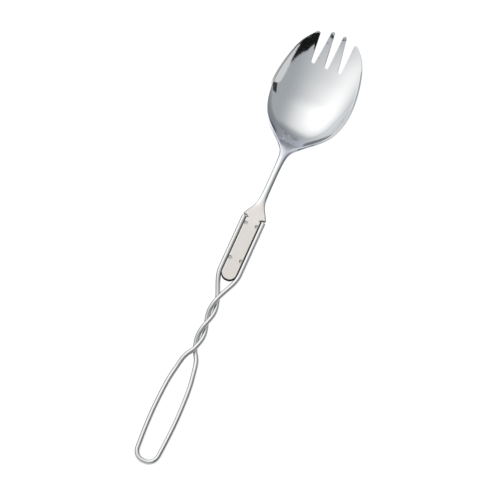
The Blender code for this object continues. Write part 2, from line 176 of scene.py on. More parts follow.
class NodeSet:
    """Adds nodes to one node tree."""

    def __init__(self, tree: bpy.types.NodeTree) -> None:
        """Works on the given tree."""
        self.tree = tree

    def add(
        self,
        kind: str,
        settings: Optional[Dict[str, object]] = None,
        inputs: Optional[Dict[Union[int, str], Input]] = None,
    ) -> bpy.types.Node:
        """Adds a node.

        Args:
            kind: The node's type name.
            settings: Properties to set first.
            inputs: Values or links of its sockets, by name or number.

        Returns:
            The node.
        """
        node = self.tree.nodes.new(kind)
        for name, value in (settings or {}).items():
            setattr(node, name, value)
        for name, value in (inputs or {}).items():
            socket = node.inputs[name]
            if isinstance(value, Number):
                self.tree.links.new(value.socket, socket)
            elif isinstance(value, Socket):
                self.tree.links.new(value, socket)
            else:
                socket.default_value = value
        return node

    def math(self, operation: str, *values: Value) -> Number:
        """Adds a Math node and returns its result."""
        node = self.add("ShaderNodeMath", {"operation": operation}, dict(enumerate(values)))
        return Number(self, node.outputs[0])

    def rise(self, value: Number, ends: Pair, unit: float = 1.0) -> Number:
        """A smooth step.

        Args:
            value: What the step is taken on.
            ends: Where it is 0 and where it is 1.
            unit: The unit that the ends are given in.

        Returns:
            The step, from 0 to 1.
        """
        start, end = ends[0] * unit, ends[1] * unit
        inputs = {"Value": value, "From Min": start, "From Max": end, "To Min": 0.0, "To Max": 1.0}
        node = self.add("ShaderNodeMapRange", {"interpolation_type": "SMOOTHSTEP"}, inputs)
        return Number(self, node.outputs["Result"])

    def within(self, value: Number, grows: Pair, fades: Pair, unit: float = 1.0) -> Number:
        """1 over a stretch, with a smooth step at each of its ends."""
        return self.rise(value, grows, unit) * (1 - self.rise(value, fades, unit))

    def mixed(self, share: Number, first: Value, second: Value) -> Number:
        """A number between two."""
        return first + share * (second - first)

    def sway(self, noise: Number, size: float) -> Number:
        """Noise of a size that swings evenly about 0."""
        return size * (noise - 0.5)

    def object_place(self) -> Socket:
        """The place on the piece, in metres."""
        return self.add("ShaderNodeTexCoord").outputs["Object"]

    def axes(self, vector: Socket) -> Tuple[Number, ...]:
        """The three parts of a vector."""
        node = self.add("ShaderNodeSeparateXYZ", None, {0: vector})
        return tuple(Number(self, socket) for socket in node.outputs)

    def noise(self, vector: Socket, scale: float, detail: float) -> Number:
        """Smooth noise from 0 to 1 around 0.5."""
        inputs = {"Vector": vector, "Scale": scale, "Detail": detail}
        return Number(self, self.add("ShaderNodeTexNoise", None, inputs).outputs["Fac"])

    def attribute(self, name: str) -> Number:
        """A number that the mesh carries at its points."""
        node = self.add("ShaderNodeAttribute", {"attribute_name": name})
        return Number(self, node.outputs["Fac"])

    def stretched(self, vector: Socket, scale: Place) -> Socket:
        """The vector with each axis scaled."""
        return self.add("ShaderNodeMapping", None, {"Vector": vector, "Scale": scale}).outputs[0]

    def blend(self, share: Input, first: Input, second: Input) -> Socket:
        """Mixes two colours.

        Args:
            share: How much of the second colour there is, from 0 to 1.
            first: A socket or three plain numbers.
            second: A socket or three plain numbers.

        Returns:
            The colour between them.
        """
        ends = [end if isinstance(end, Socket) else (*end, 1) for end in (first, second)]
        inputs = {0: share, 6: ends[0], 7: ends[1]}
        return self.add("ShaderNodeMix", {"data_type": "RGBA"}, inputs).outputs[2]

    def bump(self, height: Number, strength: float, distance: float) -> Socket:
        """A normal raised by a height in metres."""
        inputs = {"Height": height, "Strength": strength, "Distance": distance}
        return self.add("ShaderNodeBump", None, inputs).outputs["Normal"]

    def facing(self, way: Socket, direction: Vector) -> Number:
        """How far one direction points along another, from -1 to 1."""
        settings, inputs = {"operation": "DOT_PRODUCT"}, {0: way, 1: direction}
        return Number(self, self.add("ShaderNodeVectorMath", settings, inputs).outputs["Value"])

    def rays(self, *kinds: str) -> Number:
        """1 for a ray of one of the kinds that Light Path names."""
        outputs = self.add("ShaderNodeLightPath").outputs
        return self.math("MINIMUM", sum(Number(self, outputs[kind]) for kind in kinds), 1.0)


def bare_nodes(owner: Union[bpy.types.Material, bpy.types.World]) -> NodeSet:
    """Empties the node tree of a new material or world.

    Args:
        owner: The material or the world.

    Returns:
        Its node set, with no nodes yet.
    """
    owner.use_nodes = True
    owner.node_tree.nodes.clear()
    return NodeSet(owner.node_tree)


def show(name: str, bm: bmesh.types.BMesh) -> bpy.types.Object:
    """Puts a shape into the scene.

    Args:
        name: The object's name.
        bm: The shape, in metres. It is freed.

    Returns:
        The object, at the origin.
    """
    mesh = bpy.data.meshes.new(name)
    bm.to_mesh(mesh)
    bm.free()
    thing = bpy.data.objects.new(name, mesh)
    bpy.context.scene.collection.objects.link(thing)
    return thing


@dataclass(frozen=True)
class Steel(ABC):
    """What every steel finish shares: a bare metal, darker where it is seen at a slant."""

    name: str = "steel"
    edge_tint: float = 1.0

    @abstractmethod
    def look(self, nodes: NodeSet) -> Dict[str, Socket]:
        """What varies over the surface, by the shader's input."""

    def material(self) -> bpy.types.Material:
        """Builds the material.

        Returns:
            The material.
        """
        material = bpy.data.materials.new(self.name)
        material.use_nodes = True
        nodes = NodeSet(material.node_tree)
        shader = material.node_tree.nodes["Principled BSDF"]
        for name, socket in self.look(nodes).items():
            nodes.tree.links.new(socket, shader.inputs[name])
        shader.inputs["Metallic"].default_value = 1.0
        shader.inputs["Specular Tint"].default_value = (self.edge_tint,) * 3 + (1,)
        return material


@dataclass(frozen=True)
class HeadSteel(Steel):
    """Mirror-polished stainless steel that turns satin on the flare and the tongue.

    The satin part has painted shade along its edges, standing for the shade in the seams beside
    the wires, and its punched stakes are burnished, with painted shade on their walls. The neck
    has a painted dark reflection down both sides, and the rim behind the left outer tine a
    painted dark line. A pair that grows or fades is a start and an end along the head, and a pair
    of widths or shares is for the left and the right side.
    """

    name: str = "head_steel"
    edge_tint: float = 0.65
    polished: Place = (0.63, 0.645, 0.66)
    satin: Place = (0.66, 0.63, 0.605)
    tongue: Place = (0.61, 0.585, 0.56)
    heel: Place = (0.515, 0.538, 0.60)
    dark_reflection: Place = (0.10, 0.105, 0.11)
    seam_shade: Place = (0.03, 0.03, 0.033)
    stake_wall_shade: Place = (0.17, 0.17, 0.17)
    film: Place = (0.50, 0.49, 0.47)
    mirror_roughness: float = 0.045
    satin_roughness: float = 0.40
    stake_roughness: float = 0.16
    heel_haze: float = 0.06
    mirror_wipes: float = 0.020
    satin_wipes: float = 0.12
    satin_grain: float = 0.06
    wipe_scale: Place = (900, 160, 900)
    cloud_scale: float = 70.0
    grain_scale: Place = (9000, 2600, 9000)
    grain_depth: float = 0.004
    grain_strength: float = 0.6
    grain_left: float = 0.05
    satin_fades: Pair = (19.0, 25.0)
    tongue_fades: Pair = (6.0, 15.0)
    heel_grows: Pair = (44.0, 51.0)
    heel_fades: Pair = (60.0, 74.0)
    neck_reflection_grows: Pair = (20.0, 27.0)
    neck_reflection_fades: Pair = (48.0, 58.0)
    neck_reflection_widths: Pair = (0.35, 1.10)
    neck_reflection_shares: Pair = (0.5, 0.92)
    neck_reflection_edge: Pair = (0.2, 1.0)
    rim_reflection_grows: Pair = (83.0, 91.0)
    rim_reflection_side: Pair = (-10.5, -9.5)
    rim_reflection_edge: Pair = (0.05, 0.40)
    rim_reflection_share: float = 0.8
    end_fades: Pair = (-20.5, -18.0)
    end_width: float = 0.55
    shoulder: Pair = (12.0, 13.0)
    middle: Pair = (-1.0, 1.0)
    seam_shade_width: float = 0.42
    seam_shade_narrowing: Place = (1.8, 0.65, 0.9)
    seam_shade_shares: Pair = (0.9, 1.1)
    stake_pressed: Pair = (0.15, 0.85)
    ring_shade_grows: Pair = (0.03, 0.25)
    ring_shade_fades: Pair = (0.78, 1.0)
    ring_shade_share: float = 0.75
    film_share: float = 0.05
    film_sway: float = 0.10

    def edges(self, nodes: NodeSet, across: Number, along: Number) -> Tuple[Number, ...]:
        """Finds where painted shade and painted dark reflections go on the head.

        Args:
            nodes: The material's nodes.
            across: Place across the head, in metres.
            along: Place along the head, in metres.

        Returns:
            How far the surface takes painted shade along its edges, a painted dark reflection
            along the neck's sides, and a painted dark line on the rim behind the left outer tine.
        """
        gap = nodes.attribute("edge_gap")
        right = nodes.rise(across, self.middle, MM)
        # Painted shade along the flare's and tongue's edges, standing for the shade in the seams
        # beside the wires; it reaches furthest in on the right side and round the tongue's end.
        end = 1 - nodes.rise(along, self.end_fades, MM)
        even = nodes.math("MAXIMUM", right, nodes.rise(along, self.shoulder, MM))
        narrowing = nodes.mixed(even, *self.seam_shade_narrowing[:2])
        narrowing = nodes.mixed(end, narrowing, self.seam_shade_narrowing[2])
        into = (gap - self.end_width * end) * narrowing
        seam_shade = 1 - nodes.rise(into, (0.0, self.seam_shade_width))
        # Painted dark reflection down both sides of the neck, wider and darker on the right.
        beside = gap / nodes.mixed(right, *self.neck_reflection_widths)
        dark_reflection = nodes.within(along, self.neck_reflection_grows, self.neck_reflection_fades, MM)
        dark_reflection = dark_reflection * (1 - nodes.rise(beside, self.neck_reflection_edge))
        # Painted dark reflection: a thin dark line on the left rim behind the outer tine.
        rim = (1 - nodes.rise(gap, self.rim_reflection_edge)) * nodes.rise(along, self.rim_reflection_grows, MM)
        rim = rim * (1 - nodes.rise(across, self.rim_reflection_side, MM))
        return seam_shade, dark_reflection * nodes.mixed(right, *self.neck_reflection_shares), rim * self.rim_reflection_share

    def look(self, nodes: NodeSet) -> Dict[str, Socket]:
        """Lays the finishes over each other.

        Args:
            nodes: The material's nodes.

        Returns:
            What varies over the surface, by the shader's input.
        """
        place = nodes.object_place()
        across, along, _ = nodes.axes(place)
        wipes = nodes.noise(nodes.stretched(place, self.wipe_scale), scale=1.0, detail=3.0)
        cloud = nodes.noise(place, self.cloud_scale, detail=2.0)
        grain = nodes.noise(nodes.stretched(place, self.grain_scale), scale=1.0, detail=4.0)
        depth = nodes.attribute("stake_depth")
        seam_shade, dark_reflection, rim = self.edges(nodes, across, along)
        satin = 1 - nodes.rise(along, self.satin_fades, MM)
        heel = nodes.within(along, self.heel_grows, self.heel_fades, MM)
        mirror = self.mirror_roughness + self.mirror_wipes * (cloud + wipes - 1)
        frosted = self.satin_roughness + nodes.sway(wipes, self.satin_wipes)
        frosted = frosted + nodes.sway(grain, self.satin_grain)
        frosted = nodes.mixed(nodes.rise(depth, self.stake_pressed), frosted, self.stake_roughness)
        roughness = nodes.mixed(satin, mirror, frosted) + self.heel_haze * heel
        frost = nodes.blend(nodes.rise(along, self.tongue_fades, MM), self.tongue, self.satin)
        tone = nodes.blend(satin, self.polished, frost)
        # Painted shade on the sloping wall of each punched stake.
        ring = nodes.within(depth, self.ring_shade_grows, self.ring_shade_fades) * self.ring_shade_share
        # Lays on in turn the heel's tone, the painted dark reflections on the neck and the left
        # rim, the painted shade in the stakes, a random film and the painted shade along the satin
        # edges.
        for share, colour in (
            (heel, self.heel),
            (dark_reflection, self.dark_reflection),
            (rim, self.dark_reflection),
            (ring, self.stake_wall_shade),
            (self.film_share + nodes.sway(cloud, self.film_sway), self.film),
            (satin * seam_shade * nodes.mixed(wipes, *self.seam_shade_shares), self.seam_shade),
        ):
            tone = nodes.blend(share, tone, colour)
        height = (grain - 0.5) * nodes.mixed(satin, self.grain_left, 1.0)
        normal = nodes.bump(height, self.grain_strength, self.grain_depth * MM)
        return {"Base Color": tone, "Roughness": roughness.socket, "Normal": normal}


@dataclass(frozen=True)
class DrawnWire(Steel):
    """Bright drawn wire, with faint die lines that follow it.

    The piece's UV map runs round the wire and along it.
    """

    name: str = "drawn_wire"
    edge_tint: float = 0.20
    colour: Place = (0.60, 0.61, 0.615)
    film: Place = (0.46, 0.455, 0.45)
    film_share: float = 0.12
    film_sway: float = 0.25
    roughness: float = 0.11
    roughness_sway: float = 0.05
    line_scale: Place = (26, 0.9, 1)
    line_depth: float = 0.003
    line_strength: float = 0.5
    cloud_scale: float = 160.0

    def look(self, nodes: NodeSet) -> Dict[str, Socket]:
        """Draws the die lines and a thin cloudy film.

        Args:
            nodes: The material's nodes.

        Returns:
            What varies over the surface, by the shader's input.
        """
        chart = nodes.add("ShaderNodeUVMap", {"uv_map": "wire"}).outputs[0]
        lines = nodes.noise(nodes.stretched(chart, self.line_scale), scale=1.0, detail=2.0)
        cloud = nodes.noise(nodes.object_place(), self.cloud_scale, detail=3.0)
        roughness = self.roughness + self.roughness_sway * (lines + cloud - 1)
        share = self.film_share + nodes.sway(cloud, self.film_sway)
        normal = nodes.bump(lines - 0.5, self.line_strength, self.line_depth * MM)
        tone = nodes.blend(share, self.colour, self.film)
        return {"Base Color": tone, "Roughness": roughness.socket, "Normal": normal}


def steel_piece(
    name: str, bm: bmesh.types.BMesh, finish: Steel, sharp_angle: float
) -> bpy.types.Object:
    """Makes a piece from a closed shape.

    Args:
        name: The piece's name.
        bm: The shape, in millimetres. It is freed.
        finish: The steel's finish.
        sharp_angle: From how many degrees an edge shows as sharp.

    Returns:
        The piece.
    """
    bmesh.ops.recalc_face_normals(bm, faces=bm.faces[:])
    bmesh.ops.scale(bm, vec=(MM, MM, MM), verts=bm.verts[:])
    piece = show(name, bm)
    piece.data.shade_smooth()
    piece.data.set_sharp_from_angle(angle=math.radians(sharp_angle))
    piece.data.materials.append(finish.material())
    return piece


@dataclass
class Layout:
    """Sizes that the head and the wire share."""

    wire_diameter: float = 2.3
    seam_gap: float = 0.5
    clearance: float = 0.3
    tongue_width: float = 7.4
    tongue_length: float = 35.3
    flare_length: float = 11.0
    neck_length: float = 28.0
    neck_height: float = 13.2
    bowl_length: float = 72.5
    leg_length: float = 30.0
    merge_length: float = 16.2
    crossing_pitch: float = 14.0
    half_turns: int = 2
    loop_length: float = 64.3
    notch_depth: float = 0.7
    end_squareness: float = 2.3

    def __post_init__(self) -> None:
        """Works out the places along the spork: y of each part's start, from the shoulders."""
        self.wire_radius = self.wire_diameter / 2
        self.leg_place = self.tongue_width / 2 + self.seam_gap + self.wire_radius
        self.twist_length = self.half_turns * self.crossing_pitch
        head = self.flare_length + self.neck_length + self.bowl_length
        handle = self.leg_length + self.merge_length + self.twist_length + self.loop_length
        self.shoulder_y = (handle - head) / 2
        self.neck_y = self.shoulder_y + self.flare_length
        self.bowl_y = self.neck_y + self.neck_length
        self.tip_y = self.bowl_y + self.bowl_length
        self.first_crossing_y = self.shoulder_y - self.leg_length - self.merge_length
        self.last_crossing_y = self.first_crossing_y - self.twist_length
        self.loop_end_y = self.last_crossing_y - self.loop_length + self.wire_radius

    def handle_height(self, y: float) -> float:
        """Height of the straight handle's centre line.

        Args:
            y: Place along the spork.

        Returns:
            The height there.
        """
        rise = self.neck_height - self.wire_radius
        run = self.bowl_y - self.neck_length / 2 - self.loop_end_y
        return self.wire_radius + rise / run * (y - self.loop_end_y)

    def round_end(self, angle: float) -> Pair:
        """Shares of the two half axes of a rounded end at an angle up to a quarter turn."""
        power = 2 / self.end_squareness
        return max(math.cos(angle), 0.0) ** power, math.sin(angle) ** power


@dataclass
class SporkHead:
    """The forged head: bowl, tines, neck, flare and tongue in one piece of steel.

    An outline or a row of shares gives a place along its part and a value there, both as shares.
    """

    layout: Layout
    bowl_width: float = 45.8
    rim_height: float = 10.7
    bowl_wall: float = 1.2
    tip_thickness: float = 0.9
    rim_lean: float = 0.36
    slot_length: float = 17.7
    slot_end_width: float = 2.0
    middle_mouth: float = 4.8
    side_mouth: float = 5.5
    side_slot_place: float = 7.7
    inner_tip: float = 1.9
    outer_tip: float = 1.9
    outer_setback: float = 2.1
    tip_rounding: float = 0.5
    neck_width: float = 3.4
    neck_thickness: float = 2.7
    tongue_end_length: float = 4.4
    tongue_bulge: float = 0.40
    plate_thickness: float = 1.8
    shoulder_corner: float = 0.6
    shoulder_cover: float = 0.78
    blunt: float = 0.4
    blend: float = 0.25
    stake_radius: float = 1.0
    stake_depth: float = 0.34
    stake_floor: float = 0.62
    stake_dome: float = 0.10
    stake_burr: Place = (0.05, 1.12, 0.14)
    stake_inset: float = 0.7
    stake_lip: float = 1.0
    stake_places: Pair = (3.4, 23.3)
    notch_fade: float = 4.0
    tip_sharpness: float = 0.8
    rim_cut: float = 0.30
    rim_cut_reach: float = 3.0
    rim_level_share: float = 0.24
    rim_bevel_share: float = 0.4
    rim_nearness: float = 1.0
    rim_grown: float = 0.30
    rim_fade: Pair = (3.0, 14.0)
    edge_radii: Place = (0.46, 0.55, 0.20)
    edge_shares: Place = (1.0, 0.40, 0.92)
    edge_fill: float = 0.9
    square_share: float = 0.62
    sharp_angle: float = 34.0
    bowl_outline: Table = (
        (0.000, 0.118), (0.057, 0.222), (0.140, 0.503), (0.223, 0.755), (0.334, 0.926),
        (0.500, 1.000), (0.666, 0.949), (0.800, 0.845), (0.900, 0.692),
    )
    flare_outline: Table = (
        (0.000, 1.000), (0.080, 0.975), (0.220, 0.860), (0.373, 0.660), (0.520, 0.445),
        (0.664, 0.273), (0.820, 0.145), (1.000, 0.070),
    )
    neck_outline: Table = ((0.20, 1.02), (0.50, 1.00), (0.75, 1.06), (0.93, 1.30))
    keel_shares: Table = (
        (0.070, 0.970), (0.150, 0.590), (0.260, 0.218), (0.360, 0.057), (0.450, 0.0015),
        (0.540, 0.107), (0.650, 0.306), (0.720, 0.459), (0.800, 0.649), (0.870, 0.841),
        (0.940, 1.064), (1.000, 1.306),
    )
    rim_shares: Table = (
        (0.070, 1.135), (0.250, 1.045), (0.450, 0.990), (0.600, 0.992), (0.700, 1.007),
        (0.800, 1.053), (0.880, 1.118), (0.940, 1.184), (1.000, 1.268),
    )
    near_rows: Shares = (0.03, 0.08, 0.16, 0.30)
    weld: float = 0.001
    least_length: float = 1e-12
    tongue_step: float = 0.9
    stake_step: float = 0.14
    stake_reach: float = 1.5
    shoulder_step: float = 0.5
    flare_step: float = 0.35
    neck_step: float = 0.8
    bowl_step: float = 0.7
    slot_end_rows: int = 9
    tongue_end_rows: int = 16
    inner_edge: Shares = (0.012, 0.035, 0.08, 0.16, 0.28, 0.42)
    flank_columns: Shares = (
        0.0, 0.01, 0.03, 0.07, 0.14, 0.24, 0.36, 0.50, 0.64, 0.78, 0.88, 0.94, 0.97, 0.99, 1.0,
    )
    outer_columns: Shares = (
        0.02, 0.07, 0.15, 0.26, 0.39, 0.52, 0.64, 0.75, 0.84, 0.90, 0.945, 0.97, 0.985, 0.995,
        1.0,
    )
    front_rows: Shares = (
        0.10, 0.20, 0.30, 0.40, 0.50, 0.60, 0.70, 0.79, 0.86, 0.91, 0.95, 0.975, 0.99, 0.997, 1.0,
    )

    def __post_init__(self) -> None:
        """Works out the curves that the surface follows."""
        plan = self.layout
        self.shoulder_half = plan.leg_place + self.shoulder_cover * plan.wire_radius
        self.slot_y = plan.tip_y - self.slot_length
        self.outline = SmoothCurve(self.outline_points())
        self.keel = SmoothCurve(self.keel_points())
        self.rim = SmoothCurve(self.along_bowl(self.rim_shares))
        self.side_share = self.side_slot_place / self.outline(self.slot_y)
        self.end_widths = self.tongue_end_widths()

    def side_slot(self) -> Pair:
        """Inner and outer edge of a side slot at the tips."""
        inner = self.middle_mouth / 2 + self.inner_tip
        return inner, inner + self.side_mouth

    def outline_points(self) -> List[Pair]:
        """Traces the outline from the shoulder to the outer tine's tip.

        Returns:
            Place and half width of each point.
        """
        plan, neck_half = self.layout, self.neck_width / 2
        growth = self.shoulder_half - neck_half
        bowl_half = self.bowl_width / 2 - self.rim_lean * self.bowl_wall
        points = [
            (plan.shoulder_y + along * plan.flare_length, neck_half + out * growth)
            for along, out in self.flare_outline
        ]
        for start, length, half, shares in (
            (plan.neck_y, plan.neck_length, neck_half, self.neck_outline),
            (plan.bowl_y, plan.bowl_length, bowl_half, self.bowl_outline),
        ):
            points += [(start + along * length, out * half) for along, out in shares]
        last = plan.tip_y - self.outer_setback - self.tip_rounding
        return points + [(last, self.side_slot()[1] + self.outer_tip)]

    def along_bowl(self, shares: Sequence[Pair]) -> List[Pair]:
        """Turns shares of the bowl's length and rise into places and heights.

        Args:
            shares: Place and height as shares.

        Returns:
            Place and height of each point.
        """
        floor = self.bowl_wall / 2
        rise = self.rim_height - floor
        start, length = self.layout.bowl_y, self.layout.bowl_length
        return [(start + along * length, floor + up * rise) for along, up in shares]

    def keel_points(self) -> List[Pair]:
        """Traces the metal's middle along the centre line.

        Returns:
            Place and height of each point.
        """
        plan = self.layout
        straight = (
            plan.shoulder_y - plan.tongue_length,
            plan.shoulder_y,
            plan.neck_y,
            plan.bowl_y - plan.neck_length / 2,
        )
        return [(y, plan.handle_height(y)) for y in straight] + self.along_bowl(self.keel_shares)

    def bowl_rise(self, y: float) -> float:
        """Measures how far the rim stands over the keel.

        Args:
            y: Place along the head.

        Returns:
            The rise there.
        """
        plan = self.layout
        start = plan.bowl_y - self.blend * plan.neck_length
        full = plan.bowl_y + self.keel_shares[1][0] * plan.bowl_length
        if y <= start:
            return 0.0
        return max(self.rim(y) - self.keel(y), 0.0) * ease((y - start) / (full - start))

    def half_width(self, y: float) -> float:
        """Measures half of the outline above the shoulder.

        Args:
            y: Place along the head.

        Returns:
            The half width there.
        """
        plan = self.layout
        width = self.outline(min(y, plan.tip_y - self.outer_setback - self.tip_rounding))
        into = 1 - (y - plan.shoulder_y) / self.shoulder_corner
        if into > 0:
            width -= self.shoulder_corner * (1 - math.sqrt(max(1 - into * into, 0.0)))
        return width

    def tongue_half(self, y: float) -> float:
        """Measures half of the tongue, with the lips beside the stakes.

        Args:
            y: Place along the head.

        Returns:
            The half width there.
        """
        plan = self.layout
        half = plan.tongue_width / 2 + self.tongue_bulge
        for place in self.stake_places:
            away = (plan.shoulder_y - place - y) / self.stake_lip
            half += (plan.seam_gap - plan.clearance) / 4 * math.exp(-away * away)
        return half

    def slot_half(self, y: float, mouth_half: float) -> float:
        """Measures half of a slot: a round end that opens steadily to its mouth.

        Args:
            y: Place along the head.
            mouth_half: Half of the slot's mouth.

        Returns:
            The half width there.
        """
        radius = self.slot_end_width / 2
        into = y - self.slot_y
        if into <= 0:
            return 0.0
        if into < radius:
            return math.sqrt(radius**2 - (radius - into) ** 2)
        share = (into - radius) / (self.slot_length - radius)
        return radius + share * (mouth_half - radius)

    def bounds_at(self, y: float) -> Shares:
        """Finds where the bands begin and end across half of the head.

        Args:
            y: Place along the head.

        Returns:
            The middle slot's edge, the side slot's two edges, the tongue's edge carried on, and
            the outline.
        """
        plan = self.layout
        if y < plan.shoulder_y:
            edge = self.tongue_half(y) * self.end_widths.get(y, 1.0)
            return 0.0, self.side_share * edge, self.side_share * edge, edge, edge
        inner, outer = self.side_slot()
        width = self.half_width(y)
        centre = self.side_share * width
        if y > self.slot_y:
            share = (y - self.slot_y) / self.slot_length
            centre = self.side_slot_place + share * ((inner + outer) / 2 - self.side_slot_place)
        half = self.slot_half(y, (outer - inner) / 2)
        tongue = plan.tongue_width / 2 / self.shoulder_half
        flank = (tongue - self.side_share) / (1 - self.side_share)
        start, end = centre - half, centre + half
        middle = self.slot_half(y, self.middle_mouth / 2)
        return middle, start, end, end + flank * (width - end), width

    def tongue_end_widths(self) -> Dict[float, float]:
        """Lays the rows of the tongue's round end.

        Returns:
            The share of the tongue's width that each row has.
        """
        start = self.layout.shoulder_y - self.layout.tongue_length + self.tongue_end_length
        count = self.tongue_end_rows
        widths = {}
        for i in range(count, 0, -1):
            across, along = self.layout.round_end(math.pi / 2 * i / (count + self.blunt))
            widths[start - along * self.tongue_end_length] = across
        return widths

    def rows(self) -> List[float]:
        """Places the rows along the head up to the straight part of the tines.

        Returns:
            The rows' places, denser where the shape turns.
        """
        plan, near = self.layout, self.near_rows
        rows = list(self.end_widths)
        rows.append(plan.shoulder_y - plan.tongue_length + self.tongue_end_length)
        reach = self.stake_reach * self.stake_radius
        for place in reversed(self.stake_places):
            y = plan.shoulder_y - place
            rows += steps(rows[-1], y - reach, self.tongue_step)
            rows += steps(rows[-1], y + reach, self.stake_step)
        rows += steps(rows[-1], plan.shoulder_y - near[-1], self.shoulder_step)
        rows += [plan.shoulder_y - gap for gap in (*near[-2::-1], self.weld)]
        rows += [plan.shoulder_y + gap for gap in (0.0, *near)]
        rows += steps(rows[-1], plan.neck_y, self.flare_step)
        rows += steps(rows[-1], plan.bowl_y, self.neck_step)
        rows += steps(rows[-1], self.slot_y - near[-1], self.bowl_step)
        rows += [self.slot_y - gap for gap in (*near[-2::-1], 0.0)]
        radius = self.slot_end_width / 2
        turns = quarter_turn(self.slot_end_rows)
        return rows + [self.slot_y + radius * (1 - math.cos(turn)) for turn in turns]

    def columns(self) -> List[Tuple[Band, float]]:
        """Lists the columns across half of the head.

        Returns:
            Each column's band and share within it.
        """
        far_edge = (1 - share for share in reversed(self.inner_edge))
        bands = {
            Band.CENTRE: (0.0,),
            Band.INNER: (0.0, *self.inner_edge, *far_edge, 1.0),
            Band.FLANK: self.flank_columns,
            Band.OUTER: self.outer_columns,
        }
        return [(band, share) for band, shares in bands.items() for share in shares]

    def column_x(self, band: Band, share: float, y: float) -> float:
        """Finds a column's distance from the centre line.

        Args:
            band: The column's band.
            share: Its share within the band.
            y: Place along the head.

        Returns:
            The distance there.
        """
        middle, inner, outer, edge, width = self.bounds_at(y)
        start, end = {
            Band.CENTRE: (0.0, 0.0),
            Band.INNER: (middle, inner),
            Band.FLANK: (outer, edge),
            Band.OUTER: (edge, width),
        }[band]
        return start + share * (end - start)

    def front(self, band: Band, share: float) -> float:
        """Finds a tine's rounded front.

        Args:
            band: The column's band.
            share: Its share within the band.

        Returns:
            Where the tine ends at that column.
        """
        tip_y = self.layout.tip_y
        tine = 2 * share - 1
        if band in (Band.FLANK, Band.OUTER):
            _, _, outer, _, width = self.bounds_at(tip_y)
            tine = 2 * (self.column_x(band, share, tip_y) - outer) / (width - outer) - 1
        back = self.tip_rounding * abs(tine) ** self.layout.end_squareness
        return tip_y - back - (0.0 if band is Band.INNER else self.outer_setback)

    def across_share(self, x: float, y: float) -> float:
        """Share of the half width at a point, counted only above the shoulder."""
        return min(abs(x) / self.half_width(y), 1.0) if y > self.layout.shoulder_y else 0.0

    def height(self, x: float, y: float) -> float:
        """Measures the height of the metal's middle.

        Args:
            x: Distance from the centre line.
            y: Place along the head.

        Returns:
            The height there.
        """
        across = self.across_share(x, y)
        bent = self.square_share * across**2 + (1 - self.square_share) * across**4
        return self.keel(y) + self.bowl_rise(y) * bent

    def normal(self, x: float, y: float) -> Vector:
        """Finds the direction across the metal.

        Args:
            x: Distance from the centre line.
            y: Place along the head.

        Returns:
            The direction, one long.
        """
        gap = 0.01
        side = self.height(x + gap, y) - self.height(x - gap, y)
        fore = self.height(x, y + gap) - self.height(x, y - gap)
        return Vector((-side / (2 * gap), -fore / (2 * gap), 1.0)).normalized()

    def along_head(self, values: Place, y: float) -> float:
        """Blends a size from the plate's value to the neck's and on to the bowl's.

        Args:
            values: The three values.
            y: Place along the head.

        Returns:
            The size there.
        """
        plan = self.layout
        plate, neck, bowl = values
        run = plan.flare_length + self.blend * plan.neck_length
        heel = plan.bowl_y - self.blend * plan.neck_length
        to_neck = ease((y - plan.shoulder_y) / run)
        to_bowl = ease((y - heel) / (self.blend * (plan.bowl_length + plan.neck_length)))
        return plate + to_neck * (neck - plate) + to_bowl * (bowl - neck)

    def half_thickness(self, x: float, y: float, edge_gap: float) -> float:
        """Measures half the metal's thickness, less what its rounded edge takes off.

        Args:
            x: Distance from the centre line.
            y: Place along the head.
            edge_gap: Distance from the nearest edge.

        Returns:
            Half the thickness there.
        """
        thickness = self.along_head((self.plate_thickness, self.neck_thickness, self.bowl_wall), y)
        to_tip = ease((y - self.slot_y) / self.slot_length)
        thickness += to_tip * (self.tip_thickness - self.bowl_wall)
        edge = self.along_head(self.edge_shares, y)
        across = self.across_share(x, y)
        half = thickness / 2 * math.sqrt(1 - (1 - edge**2) * across**2)
        radius = self.along_head(self.edge_radii, y) * (1 - self.tip_sharpness * to_tip)
        radius = min(radius, self.edge_fill * half)
        into = max(radius - edge_gap, 0.0)
        return half - radius + math.sqrt(radius**2 - into**2)

    def dent(self, x: float, y: float) -> float:
        """Measures how far a punched stake lowers the front face.

        Args:
            x: Distance from the centre line.
            y: Place along the head.

        Returns:
            The depth there, below zero on the burr round the stake.
        """
        plan = self.layout
        burr, burr_place, burr_width = self.stake_burr
        down = 0.0
        for place in self.stake_places:
            across = abs(x) - (plan.tongue_width / 2 - self.stake_inset)
            far = math.hypot(across, y - (plan.shoulder_y - place)) / self.stake_radius
            down += self.stake_depth * (1 - ease((far - self.stake_floor) / (1 - self.stake_floor)))
            down -= self.stake_dome * max(1 - (far / self.stake_floor) ** 2, 0.0)
            down -= burr * math.exp(-(((far - burr_place) / burr_width) ** 2))
        return down

    def notch(self, x: float, y: float) -> float:
        """Measures how far a row moves up over a wire's rounded end.

        Args:
            x: Distance from the centre line.
            y: Place along the head.

        Returns:
            The move there.
        """
        plan = self.layout
        away = (abs(x) - plan.leg_place) / (plan.wire_radius + plan.clearance)
        if y < plan.shoulder_y or abs(away) >= 1:
            return 0.0
        fade = 1 - ease((y - plan.shoulder_y) / (self.notch_fade * plan.notch_depth))
        return plan.notch_depth * math.sqrt(1 - away * away) * fade

    def rim_shaping(self, y: float) -> float:
        """Measures how far the rim is ground.

        Args:
            y: Place along the head.

        Returns:
            0 at the neck and the tips, and 1 along the bowl.
        """
        plan = self.layout
        fade_start, fade_length = self.rim_fade
        grown = ease((y - plan.bowl_y) / (self.rim_grown * plan.bowl_length))
        return grown * ease((plan.tip_y - self.outer_setback - y - fade_start) / fade_length)

    def ground(self, x: float, y: float) -> float:
        """Measures how far the inner face moves inwards where the rim is ground.

        Args:
            x: Distance from the centre line, below zero on the left.
            y: Place along the head.

        Returns:
            The move there, with the sign of x.
        """
        shaping = self.rim_shaping(y)
        if shaping == 0.0:
            return 0.0
        away = (self.half_width(y) - abs(x)) / self.rim_cut_reach
        return math.copysign(self.rim_cut * shaping * max(1 - away, 0.0) ** 2, x)

